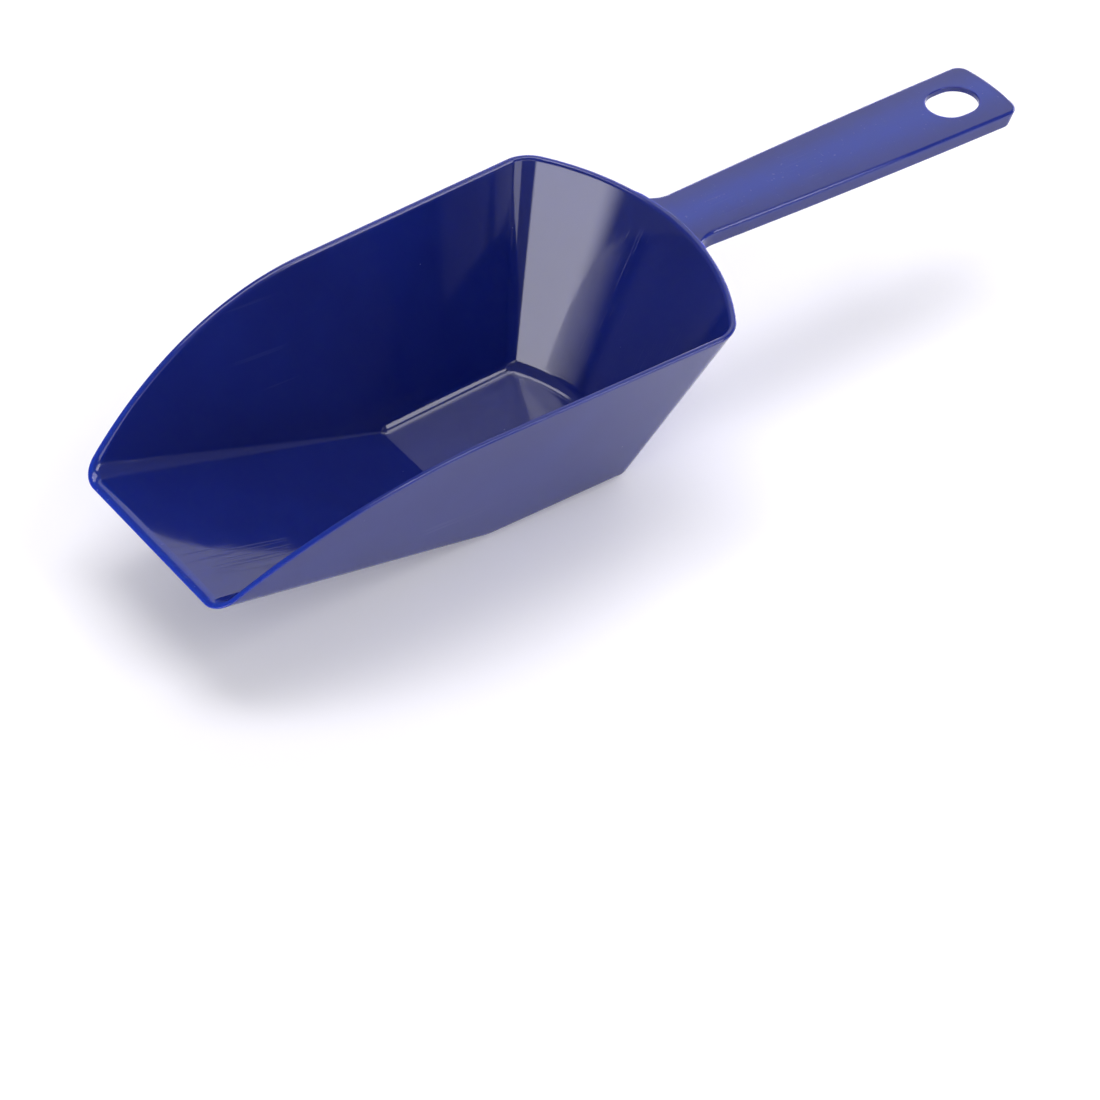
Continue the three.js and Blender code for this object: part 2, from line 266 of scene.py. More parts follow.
class Surface:
    """One side of the bowl's wall. The inner one is drawn in from the outer one by the wall's
    thickness. Every point of it is on the floor, or on a column: the curve that leaves the floor
    through the fillet and runs straight up the wall. A column is named by where it is along the
    path round the bowl: ("side", y), ("corner", 0 to 1) or ("back", 0 to 1 in the middle)."""

    def __init__(self, inner):
        self.inset = WALL if inner else 0.0
        self.level = LEVEL_WALL if inner else 0.0
        self.kink = INNER_KINK if inner else OUTER_KINK
        self.flat_fillet = FLAT_FILLET if inner else OUTER_FILLET_AT_FLAT
        self.back_fillet = BACK_FILLET if inner else OUTER_FILLET_AT_FLAT
        self.ramp_fillet = RAMP_FILLET_AT_FLAT if inner else OUTER_FILLET_AT_FLAT
        self.lip_fillet = RAMP_FILLET_AT_LIP if inner else OUTER_FILLET_AT_LIP
        self.inner = inner
        self.floor_plan = self.plan(self.inset)
        self.rim_plan = self.plan(RIM_HEIGHT)
        self.side_end = self.floor_plan["side_end"]
        self.lip = bisect(self.edge_above_floor, LIP_Y - WALL, LIP_Y + LIP_SEARCH)

    def edge(self, y):
        """How far below the rim's cut face the rounding of its edge begins."""
        if not self.inner:
            beside = BACK_RIM_Y - HANDLE_EDGE_START - y
            return mix(OUTER_EDGE_AT_HANDLE, OUTER_EDGE, smooth(beside / HANDLE_EDGE_START))
        return mix(INNER_EDGE_AT_LIP, INNER_EDGE, smooth((y - LIP_Y) / LIP_EDGE_LENGTH))

    def edge_height(self, y):
        return rim_height(y, self.edge(y))

    def edge_above_floor(self, y):
        return self.edge_height(y) - self.floor(y)

    def plan(self, z):
        """The circles of the corner and of the back wall at height z."""
        up = z / RIM_HEIGHT
        side_x = FLAT_HALF_WIDTH + SIDE_LEAN * z
        corner_y = FLAT_BACK + BACK_LEAN * z
        corner_x = side_x + SIDE_TAPER * corner_y
        bulge = mix(BULGE_AT_FLOOR, BULGE_AT_RIM, up)
        back = (corner_x**2 + bulge**2) / (2 * bulge)
        back_y = corner_y + bulge - back
        small = mix(CORNER_AT_FLOOR, CORNER_AT_RIM, up)
        line_x = side_x + SIDE_TAPER * back_y - small
        a = 1 + SIDE_TAPER**2
        b = line_x * SIDE_TAPER
        along = (-b + math.sqrt(b * b - a * (line_x**2 - (back - small) ** 2))) / a
        centre = Vector((line_x + SIDE_TAPER * along, back_y + along))
        start = -math.atan(SIDE_TAPER)
        return {
            "z": z,
            "corner": centre,
            "corner_radius": small - self.level,
            "back_y": back_y,
            "back_radius": back - self.level,
            "start": start,
            "end": math.atan2(along, centre.x),
            "side_end": centre.y + (small - self.level) * math.sin(start),
        }

    def on_plan(self, plan, part, t):
        """The point and the inward direction of the outline in a plan, at the corner or back."""
        if part == "corner":
            angle = mix(plan["start"], plan["end"], t)
            centre, radius = plan["corner"], plan["corner_radius"]
        else:
            angle = mix(plan["end"], math.pi / 2, t)
            centre, radius = Vector((0, plan["back_y"])), plan["back_radius"]
        out = Vector((math.cos(angle), math.sin(angle)))
        point = centre + out * radius
        return Vector((point.x, point.y, plan["z"])), Vector((-out.x, -out.y, 0))

    def floor(self, y):
        """The floor's height: level, then the ramp, with a short curve between."""
        ahead = FLAT_FRONT - y
        if ahead > self.kink:
            return self.inset + RAMP_SLOPE * ahead
        if ahead > -self.kink:
            return self.inset + RAMP_SLOPE * (self.kink + ahead) ** 2 / (4 * self.kink)
        return self.inset

    def fillet(self, y):
        """The radius of the fillet at the foot of a side. The inner one jumps where the ramp meets
        the flat."""
        along = clamp((FLAT_FRONT - y) / (FLAT_FRONT - LIP_Y))
        on_ramp = mix(self.ramp_fillet, self.lip_fillet, along)
        return mix(on_ramp, self.flat_fillet, smooth((y - FLAT_FRONT) / FILLET_JUMP))

    def side(self, y, z):
        x = FLAT_HALF_WIDTH - self.level + SIDE_TAPER * y + SIDE_LEAN * z
        return Vector((x, y, z))

    def column(self, part, t):
        """A function from the distance up a column to its point."""
        if part == "side":
            radius = self.fillet(t)
            foot = self.side(t, self.floor(t))
            back_share = clamp((t - FLAT_FRONT) / (self.side_end - FLAT_FRONT))
            inward = Vector((-1, SIDE_TAPER * back_share, 0)).normalized()
            shift = (self.rim_plan["side_end"] - self.side_end) * back_share**2
            top = self.side(t + shift, RIM_HEIGHT)
        else:
            # Round the corner the fillet widens from the side's radius to the back's.
            turned = smooth(t) if part == "corner" else 1.0
            radius = mix(self.flat_fillet, self.back_fillet, turned)
            foot, inward = self.on_plan(self.floor_plan, part, t)
            top, _ = self.on_plan(self.rim_plan, part, t)
        up = Vector((0, 0, 1))
        lean = (top - foot).dot(-inward) / (top - foot).z
        turn = math.atan2(1, lean)
        tangent = radius * math.tan(turn / 2)
        centre = foot + inward * tangent + up * radius
        arc_top = centre - inward * radius * math.sin(turn) - up * radius * math.cos(turn)
        rise = (top - arc_top).normalized()

        def at(distance):
            if distance <= radius * turn:
                a = distance / radius
                return centre - inward * radius * math.sin(a) - up * radius * math.cos(a)
            return arc_top + rise * (distance - radius * turn)

        at.arc_length = radius * turn
        return at

    def trimmed(self, part, t):
        """How far up a column the rounded edge of the rim begins."""
        at = self.column(part, t)

        def above(distance):
            p = at(distance)
            return p.z - self.edge_height(p.y)

        if above(0) > -ROUNDING_ERROR:
            return 0.0
        return bisect(above, 0, 2 * RIM_HEIGHT)

    def normal(self, part, t, distance):
        """The surface's normal on a column, out of the plastic."""
        lower = distance - SMALL_STEP if distance > SMALL_STEP else distance
        up = self.column(part, t)(distance + SMALL_STEP) - self.column(part, t)(lower)
        step = SMALL_STEP if part == "side" else SMALL_SHARE
        before, after = t - step, t + step
        if part != "side":
            before, after = max(before, 0), min(after, 1)
        along = self.column(part, after)(distance) - self.column(part, before)(distance)
        normal = along.cross(up).normalized()
        return normal if self.inner else -normal

    def floor_normal(self, y):
        rise = self.floor(y + SMALL_STEP) - self.floor(y - SMALL_STEP)
        slope = rise / (2 * SMALL_STEP)
        normal = Vector((0, -slope, 1)).normalized()
        return normal if self.inner else -normal

    def edge_point(self, point, normal):
        """Where the surface would meet the rim's cut face if the edge were sharp."""
        slope = rim_slope(point.y)
        cut = Vector((0, -math.sin(slope), math.cos(slope)))
        along = cut - normal * cut.dot(normal)
        return point + along * (self.edge(point.y) / along.length_squared)


INNER = Surface(inner=True)
OUTER = Surface(inner=False)


# ------------------------------------------------------------------------------- the bowl's mesh


def side_stations(surface, outer):
    """The y of each side column, from the lip to the corner: close together round the lip's
    corner and at the kink. The inner and the outer list go together one to one."""
    lip = outer.lip
    stations = [lip + LIP_CORNER_LENGTH * (i / LIP_COLUMNS) ** 2 for i in range(LIP_COLUMNS + 1)]
    step = stations[-1] - stations[-2]
    kink = [FLAT_FRONT + distance for distance in KINK_COLUMNS]
    while stations[-1] + step < kink[0] - step / 2:
        stations.append(stations[-1] + step)
        step = min(LONGEST_STEP, step * STEP_GROWTH)
    stations += kink
    rest = math.ceil((surface.side_end - kink[-1]) / LONGEST_STEP)
    last = stations[-1]
    stations += [mix(last, surface.side_end, (i + 1) / rest) for i in range(rest)]
    shift = surface.lip - outer.lip
    return [y + shift * (1 - smooth((y - lip) / LIP_SHIFT_FADE)) for y in stations]


def rounded_edge(start, corner, other):
    """Points from the end of a surface, round its edge, on to the rim's cut face."""
    cut = other - corner
    end = corner + cut * min((corner - start).length / cut.length, ROUNDED_SHARE)
    points = []
    for i in range(EDGE_STEPS + 1):
        t = i / EDGE_STEPS
        points.append(start * (1 - t) ** 2 + corner * 2 * t * (1 - t) + end * t * t)
    return points


class MeshBuilder:
    """Collects points and faces, in millimetres, and for each point how much painted glow it has,
    from 0 to 1: painted light for light passing through the thin plastic."""

    def __init__(self):
        self.points = []
        self.edges = []
        self.faces = []

    def row(self, points, edges=None):
        first = len(self.points)
        self.points += [Vector(p) for p in points]
        self.edges += edges or [0.0] * len(points)
        return list(range(first, len(self.points)))

    def strip(self, a, b):
        """Faces between two rows of the same length."""
        for i in range(len(a) - 1):
            self.faces.append((a[i], a[i + 1], b[i + 1], b[i]))

    def sheet(self, rows):
        for a, b in zip(rows, rows[1:]):
            self.strip(a, b)

    def mirror(self):
        """Adds the mirror image in x."""
        count = len(self.points)
        self.points += [Vector((-p.x, p.y, p.z)) for p in self.points]
        self.edges += self.edges
        self.faces += [tuple(i + count for i in reversed(f)) for f in self.faces]


def put_mesh(name, builder, place, material):
    """A smooth closed mesh object from a builder's points, welded, in metres."""
    mesh = bpy.data.meshes.new(name)
    bm = bmesh.new()
    layer = bm.verts.layers.float.new(PAINTED_GLOW_AND_NICK_LAYER)
    vertices = [bm.verts.new(place @ p * MM) for p in builder.points]
    for vertex, edge in zip(vertices, builder.edges):
        vertex[layer] = edge
    for face in builder.faces:
        bm.faces.new([vertices[i] for i in face])
    bmesh.ops.remove_doubles(bm, verts=bm.verts, dist=WELD)
    bmesh.ops.dissolve_degenerate(bm, edges=bm.edges, dist=WELD)
    bmesh.ops.recalc_face_normals(bm, faces=bm.faces)
    for face in bm.faces:
        face.smooth = True
    open_edges = sum(1 for e in bm.edges if len(e.link_faces) != 2)
    print(f"{name}: {len(bm.verts)} points, {open_edges} open edges")
    bm.to_mesh(mesh)
    bm.free()
    mesh.materials.append(material)
    piece = bpy.data.objects.new(name, mesh)
    bpy.context.scene.collection.objects.link(piece)
    weighted = piece.modifiers.new("weighted normals", "WEIGHTED_NORMAL")
    weighted.mode = "FACE_AREA"
    weighted.keep_sharp = False
    return piece


def painted_glow_share(y, distance=0.0):
    """How much painted glow the bowl has at y, at a distance from its edge: painted light for
    light passing through the thin plastic, strongest at the lip and fading along the rim.
    """
    along = mix(1.0, PAINTED_GLOW_SIDE_SHARE, smooth((y - LIP_Y) / LIP_GLOW_LENGTH))
    return PAINTED_GLOW_START * along * (1 - smooth(distance / PAINTED_GLOW_FADE))


def column_rows(surface, part, t):
    """Points up one column, from the floor to the start of the rim's rounding, their painted glow
    values, and the normal at the last."""
    at = surface.column(part, t)
    length = surface.trimmed(part, t)
    fillet = min(at.arc_length, FILLET_SHARE * length)
    distances = [fillet * i / FILLET_ROWS for i in range(FILLET_ROWS + 1)]
    shrink = min(1.0, (length - fillet) / (2 * TOP_ROWS[0]))
    top = [length - below * shrink for below in TOP_ROWS]
    distances += [mix(fillet, top[0], (i + 1) / WALL_ROWS) for i in range(WALL_ROWS)]
    distances += top[1:]
    points = [at(d) for d in distances]
    edges = [painted_glow_share(p.y, length - d) for p, d in zip(points, distances)]
    return points, edges, surface.normal(part, t, length)


def bowl_half(surface, stations):
    """The half of one surface at positive x: columns, each from the floor up, and floor rows,
    each from the middle out. Also the points and normals along its rim, from the middle of the
    lip round to the middle of the back."""
    backs = [1 - k / FLOOR_LINES for k in range(FLOOR_LINES + 1)]
    paths = [("side", y) for y in stations]
    paths += [("corner", (i + 1) / CORNER_COLUMNS) for i in range(CORNER_COLUMNS)]
    paths += [("back", t) for t in reversed(backs[:-1])]
    columns = [column_rows(surface, part, t) for part, t in paths]
    widest = columns[len(stations) - 1][0][0].x
    lines = [surface.column("back", t)(0).x / widest for t in backs]
    floor = []
    for y, (points, _, _) in zip(stations, columns):
        floor.append([Vector((f * points[0].x, y, surface.floor(y))) for f in lines])
    rim = [(p, surface.floor_normal(p.y + LIP_MARGIN)) for p in floor[0]]
    rim += [(points[-1], normal) for points, _, normal in columns]
    return [(points, edges) for points, edges, _ in columns], floor, rim


def surface_sheets(builder, surface, outer):
    """Adds half of one surface, and returns the points and normals along its rim."""
    stations = side_stations(surface, outer)
    columns, floor, rim = bowl_half(surface, stations)
    column_ids = [builder.row(points, edges) for points, edges in columns]
    # The floor's painted glow, strongest next to the lip.
    floor_edges = [[painted_glow_share(y, y - stations[0])] * len(floor[0]) for y in stations]
    floor_ids = [builder.row(*row) for row in zip(floor, floor_edges)]
    builder.sheet(column_ids)
    feet = [ids[0] for ids in column_ids]
    for ids, foot in zip(floor_ids, feet):
        ids.append(foot)
    builder.sheet(floor_ids)
    # Behind the last station the floor runs to the back wall's fillet, with a fan of faces in
    # the round corner.
    corner = len(stations) - 1
    behind = corner + CORNER_COLUMNS
    last = floor_ids[-1][:-1]
    builder.strip(last, feet[behind:][::-1])
    hub = last[-1]
    for a, b in zip(feet[corner:behind], feet[corner + 1:behind + 1]):
        builder.faces.append((hub, a, b))
    return rim


def bowl_mesh():
    builder = MeshBuilder()
    rims = [surface_sheets(builder, surface, OUTER) for surface in (INNER, OUTER)]
    # The rim's cut face, with its two rounded edges.
    cut = []
    for (p_in, n_in), (p_out, n_out) in zip(*rims):
        sharp_in = INNER.edge_point(p_in, n_in)
        sharp_out = OUTER.edge_point(p_out, n_out)
        up = rounded_edge(p_in, sharp_in, sharp_out)
        down = rounded_edge(p_out, sharp_out, sharp_in)
        # The cut face carries the most painted glow, for light passing through the thin edge.
        start = painted_glow_share(p_out.y)
        glow = [mix(start, start / PAINTED_GLOW_START, i / EDGE_STEPS) for i in range(EDGE_STEPS + 1)]
        cut.append(builder.row(up + down[::-1], glow + glow[::-1]))
    builder.sheet(cut)
    builder.mirror()
    return builder


# ------------------------------------------------------------------------------------ the handle


HANDLE_ROOT = Matrix.Translation((0, BACK_RIM_Y, RIM_HEIGHT - ROOT_STEP_DOWN))
HANDLE_PLACE = HANDLE_ROOT @ Matrix.Rotation(-HANDLE_DROOP, 4, "X")


def back_wall(x, z):
    """The y of the bowl's outer surface at the back."""
    plan = OUTER.plan(z)
    return plan["back_y"] + math.sqrt(plan["back_radius"] ** 2 - x * x)


def handle_half_width(y):
    t = clamp(y / HANDLE_LENGTH)
    flare_in = clamp(FLARE_LENGTH - y, 0, FLARE_RADIUS * math.sqrt(0.5))
    flare = FLARE_RADIUS - math.sqrt(FLARE_RADIUS**2 - flare_in**2)
    return mix(HANDLE_WAIST, HANDLE_END_HALF_WIDTH, t) + 4 * HANDLE_BELLY * t * (1 - t) + flare


def root_end(x, z):
    """Where the handle's root ends, inside the back wall, on a line at x and z of the handle."""
    return back_wall(x, RIM_HEIGHT + z) - ROOT_DEPTH - BACK_RIM_Y


def handle_outline(side_in, end_in, z):
    """The right half of the handle's plan outline at height z, from the root to the middle of
    the end."""
    end = HANDLE_LENGTH - end_in
    corner = max(END_CORNER - side_in, END_CORNER / 2)
    width = HANDLE_END_HALF_WIDTH - side_in
    radius = (width**2 + END_BULGE**2) / (2 * END_BULGE)
    centre_x = width - corner
    centre_y = end - radius + math.sqrt((radius - corner) ** 2 - centre_x**2)
    angle = math.acos(centre_x / (radius - corner))
    root = 0.0
    for _ in range(ROOT_ROUNDS):
        root = root_end(handle_half_width(root) - side_in, z)
    ys = [mix(root, ROOT_ZONE, i / ROOT_STATIONS) for i in range(ROOT_STATIONS)]
    ys += [mix(ROOT_ZONE, HOLE_ZONE, i / GRIP_STATIONS) for i in range(GRIP_STATIONS)]
    ys += [mix(HOLE_ZONE, centre_y, i / HOLE_STATIONS) for i in range(HOLE_STATIONS)]
    taper_end = handle_half_width(centre_y) - side_in
    points = [Vector((handle_half_width(y) - side_in, y, z)) for y in ys]
    for i in range(END_CORNER_STEPS + 1):
        a = angle * i / END_CORNER_STEPS
        x = centre_x + corner * math.cos(a)
        x -= (width - taper_end) * (1 - i / END_CORNER_STEPS)
        points.append(Vector((x, centre_y + corner * math.sin(a), z)))
    for i in range(1, END_STEPS + 1):
        a = mix(angle, math.pi / 2, i / END_STEPS)
        points.append(Vector((radius * math.cos(a), end - radius + radius * math.sin(a), z)))
    return points


def across(point):
    """Where a point of the handle is across it, from 0 in the middle to 1 at its long edges."""
    return clamp(abs(point.x) / handle_half_width(max(point.y, FLARE_LENGTH)))


def crown(point):
    """The handle's top sinks a little towards its long edges."""
    fade = 1 + point.z / SKIRT_DEPTH
    return Vector((point.x, point.y, point.z - CROWN * across(point) ** 2 * fade))


def painted_plate_glow(point):
    """Painted glow along the plate's middle: painted light for light passing through the thin
    plate.
    """
    return PAINTED_PLATE_GLOW * (1 - smooth(across(point) / PLATE_GLOW_WIDTH))


def hole_point(direction, grow, z):
    """The point of the hang hole's outline, grown by grow, in a direction from its centre."""
    radius = HOLE_RADIUS + grow
    half = HOLE_STRAIGHT / 2
    d = direction.normalized()
    if abs(d.x) * half >= radius * abs(d.y):
        reach = radius / abs(d.x)
    else:
        # The far crossing of the ray with the round end's circle, centred half along y.
        centre = half * abs(d.y)
        reach = centre + math.sqrt(centre**2 - half**2 + radius**2)
    return Vector((d.x * reach, HOLE_FROM_ROOT + d.y * reach, z))


def plate_sheet(builder, boundary):
    """One face of the plate inside a boundary, with the hang hole. Returns the rows across the
    handle, and the ids of the points round the hole, from the root's side to the end's."""
    zone = ROOT_STATIONS + GRIP_STATIONS
    z = boundary[0].z
    shares = [k / CROSS_LINES for k in range(CROSS_LINES + 1)]
    rows = []
    for p in boundary[:zone + 1]:
        line = [Vector((p.x * f, root_row_y(p, f, z), z)) for f in shares]
        rows.append(builder.row([crown(q) for q in line], [painted_plate_glow(q) for q in line]))
    builder.sheet(rows)
    rest = boundary[zone + 1:]
    contour = [Vector((boundary[zone].x * f, HOLE_ZONE, z)) for f in shares] + rest
    ring = rows[-1] + builder.row([crown(p) for p in rest])
    centre = Vector((0, HOLE_FROM_ROOT, 0))
    for r in range(1, HOLE_RINGS + 1):
        t = 1 - (1 - r / HOLE_RINGS) ** RING_CROWDING
        points = []
        for p in contour:
            flat = Vector((p.x, p.y, 0)) - centre
            hole = hole_point(flat, HOLE_EDGE, z)
            points.append(crown(Vector((mix(p.x, hole.x, t), mix(p.y, hole.y, t), z))))
        new = builder.row(points, [painted_plate_glow(q) for q in points])
        builder.strip(ring, new)
        ring = new
    return rows, ring


def root_row_y(edge, share, z):
    """Near the root the rows across the handle bend to follow the back wall."""
    if edge.y >= ROOT_ZONE:
        return edge.y
    edge_root = root_end(edge.x, z)
    here_root = root_end(edge.x * share, z)
    fade = clamp((edge.y - edge_root) / (ROOT_ZONE - edge_root))
    return edge.y + (here_root - edge_root) * (1 - fade)


def handle_levels():
    """The rings of the handle below its top face, as how far each is drawn in at the sides and at
    the end, and its height: round the top edge, down the skirt, round its foot, and up inside."""
    rings = []

    def add(side_in, end_in, z):
        down = -z / SKIRT_DEPTH
        rings.append((side_in + SKIRT_SIDE_DRAFT * down, end_in + SKIRT_END_DRAFT * down, z))

    quarter = [math.pi / 2 * i / SKIRT_EDGE_STEPS for i in range(SKIRT_EDGE_STEPS + 1)]
    for a in quarter:
        inset = TOP_EDGE * (1 - math.sin(a))
        add(inset, inset, -TOP_EDGE * (1 - math.cos(a)))
    foot = -SKIRT_DEPTH
    for share in SKIRT_ROWS:
        add(0, 0, mix(-TOP_EDGE, foot + FOOT_EDGE, share))
    for a in quarter:
        inset = FOOT_EDGE * (1 - math.cos(a))
        add(inset, inset, foot + FOOT_EDGE * (1 - math.sin(a)))
    inside = SKIRT_WALL - FOOT_EDGE
    for a in quarter:
        inset = inside + FOOT_EDGE * math.sin(a)
        add(inset, inset, foot + FOOT_EDGE * (1 - math.cos(a)))
    side_in, end_in, _ = rings[-1]
    top = -PLATE - CEILING_FILLET
    for a in quarter:
        inset = CEILING_FILLET * (1 - math.cos(a))
        rings.append((side_in + inset, end_in + inset, top + CEILING_FILLET * math.sin(a)))
    return rings


def handle_mesh():
    builder = MeshBuilder()
    outlines = [handle_outline(*ring) for ring in handle_levels()]
    skirt = []
    for outline in outlines:
        z = outline[0].z
        # Painted glow just under the handle's rounded top edge, for light passing through the thin
        # plastic.
        edge = PAINTED_HANDLE_EDGE_GLOW * (1 - smooth((-z - TOP_EDGE) / PAINTED_GLOW_FADE)) if z < 0 else 0.0
        skirt.append(builder.row([crown(p) for p in outline], [edge] * len(outline)))
    builder.sheet(skirt)
    top_rows, top_hole = plate_sheet(builder, outlines[0])
    ceiling_rows, ceiling_hole = plate_sheet(builder, outlines[-1])
    # The end at the root, hidden in the back wall: the plate's, then the skirt's.
    builder.strip(top_rows[0], ceiling_rows[0])
    builder.faces.append(tuple(ring[0] for ring in skirt))
    # The wall of the hang hole, rounded at both faces.
    directions = [builder.points[i] - Vector((0, HOLE_FROM_ROOT, 0)) for i in top_hole]
    rings = [top_hole]
    profile = []
    for i in range(1, HOLE_EDGE_STEPS + 1):
        a = math.pi / 2 * i / HOLE_EDGE_STEPS
        profile.append((HOLE_EDGE * (1 - math.sin(a)), -HOLE_EDGE * (1 - math.cos(a))))
    profile += [(grow, -PLATE - z) for grow, z in reversed(profile)]
    for grow, z in profile:
        flat = [Vector((d.x, d.y, 0)) for d in directions]
        rings.append(builder.row([crown(hole_point(d, grow, z)) for d in flat]))
    rings.append(ceiling_hole)
    builder.sheet(rings)
    builder.mirror()
    return builder


# --------------------------------------------------------------------------------- the plastic


# Its colours, as linear red, green and blue.
BODY_BLUE = (0.0072, 0.0145, 0.153, 1)
BRIGHT_BLUE = (0.013, 0.032, 0.30, 1)  # where the plastic is thin or ran fast into the mould
# The colour of the painted glow at thin edges, for light passing through the plastic.
PAINTED_GLOW_BLUE = (0.002, 0.034, 0.36, 1)
WORN_BLUE = (0.11, 0.14, 0.36, 1)
PLASTIC_IOR = 1.5
LIGHT_DEPTH = 0.003  # how far light spreads inside
LIGHT_DEPTH_SHARES = (0.15, 0.3, 1.0)  # of that, for red, green and blue

# Its roughness: all over, what haze adds in patches, and in the scratches.
GLOSS_ROUGHNESS = 0.045
HAZE_ROUGHNESS = 0.05
SCRATCH_ROUGHNESS = 0.2

# How fine its marks are, per metre.
FLOW_FINENESS = 22.0
HAZE_FINENESS = 160.0
CHIP_FINENESS = 900.0
WAVE_FINENESS = 45.0
GRAIN_FINENESS = 1400.0
DUST_CELLS = 110.0
DUST_RADIUS = 0.025  # of a cell
DUST_KEPT = 0.4  # of the cells hold a speck
SCRATCH_FINENESS = (1800.0, 16.0, 60.0)  # coarsest along the lines
SCRATCH_PATCHES = 28.0
LONG_SCRATCHES = (0.0, 0.3, 0.5)  # which way they run, as turns about x, y and z
CROSS_SCRATCHES = (0.5, 0.2, -0.9)

# From which value of its noise each mark starts to show, to which it is full.
FLOW_RANGE = (0.3, 0.75)
HAZE_RANGE = (0.35, 0.7)
CHIP_RANGE = (0.7, 0.76)
PATCH_RANGE = (0.6, 0.72)
LONG_RANGE = (0.7, 0.75)
CROSS_RANGE = (0.72, 0.77)
SPECK_CORE = 0.6  # of a speck's radius

# How strongly its marks show.
FLOW_SHOWS = 0.22
# The next is how strongly the painted glow at the edges shows.
PAINTED_GLOW_SHOWS = 0.9
SCRATCH_SHOWS = 0.05
NICK_SHOWS = 0.5
DUST_SHOWS = 0.7

# How high its bumps are.
WAVE_HEIGHT = 0.00004
GRAIN_HEIGHT = 0.0000012
MARK_HEIGHT = 0.00002
SCRATCH_DEPTH = 0.5  # of a speck's height


def add_node(tree, kind, inputs=None, **settings):
    """A shader node with its settings, and its inputs set or linked."""
    node = tree.nodes.new(kind)
    for name, value in settings.items():
        setattr(node, name, value)
    for key, value in (inputs or {}).items():
        if isinstance(value, bpy.types.NodeSocket):
            tree.links.new(value, node.inputs[key])
        else:
            node.inputs[key].default_value = value
    return node


def maths(tree, operation, a, b=0.0):
    return add_node(tree, "ShaderNodeMath", {0: a, 1: b}, operation=operation).outputs[0]


def remap(tree, value, from_low, from_high, to_low, to_high):
    """A smooth step of a value from one range to another."""
    levels = {
        "Value": value,
        "From Min": from_low,
        "From Max": from_high,
        "To Min": to_low,
        "To Max": to_high,
    }
    node = add_node(tree, "ShaderNodeMapRange", levels, interpolation_type="SMOOTHSTEP")
    return node.outputs["Result"]


def mix_colour(tree, share, a, b):
    """A mix of two colours, whose sockets on the node come after those for plain numbers."""
    inputs = {0: share, 6: a, 7: b}
    return add_node(tree, "ShaderNodeMix", inputs, data_type="RGBA").outputs[2]


def noise(tree, place, per_metre, detail=1.0, roughness=0.5):
    inputs = {"Vector": place, "Scale": per_metre, "Detail": detail, "Roughness": roughness}
    return add_node(tree, "ShaderNodeTexNoise", inputs).outputs["Fac"]


def scratches(tree, place, turn, peaks):
    """Fine lines that run one way: noise that is drawn out along it, of which only the peaks
    are kept, and only in patches."""
    inputs = {"Vector": place, "Rotation": turn, "Scale": SCRATCH_FINENESS}
    drawn_out = add_node(tree, "ShaderNodeMapping", inputs).outputs[0]
    lines = remap(tree, noise(tree, drawn_out, 1.0, detail=0.0), *peaks, 0.0, 1.0)
    patches = remap(tree, noise(tree, place, SCRATCH_PATCHES), *PATCH_RANGE, 0.0, 1.0)
    return maths(tree, "MULTIPLY", lines, patches)


def specks(tree, place):
    """Round dots: one in each cell of a Voronoi pattern, of which only a share is kept."""
    cells = add_node(tree, "ShaderNodeTexVoronoi", {"Vector": place, "Scale": DUST_CELLS})
    distance = cells.outputs["Distance"]
    dots = remap(tree, distance, DUST_RADIUS * SPECK_CORE, DUST_RADIUS, 1.0, 0.0)
    split = add_node(tree, "ShaderNodeSeparateColor", {"Color": cells.outputs["Color"]})
    chosen = maths(tree, "LESS_THAN", split.outputs[0], DUST_KEPT)
    return maths(tree, "MULTIPLY", dots, chosen)


def bump(tree, height, metres, normal=None):
    inputs = {"Height": height, "Distance": metres, "Strength": 1.0}
    if normal:
        inputs["Normal"] = normal
    return add_node(tree, "ShaderNodeBump", inputs).outputs[0]


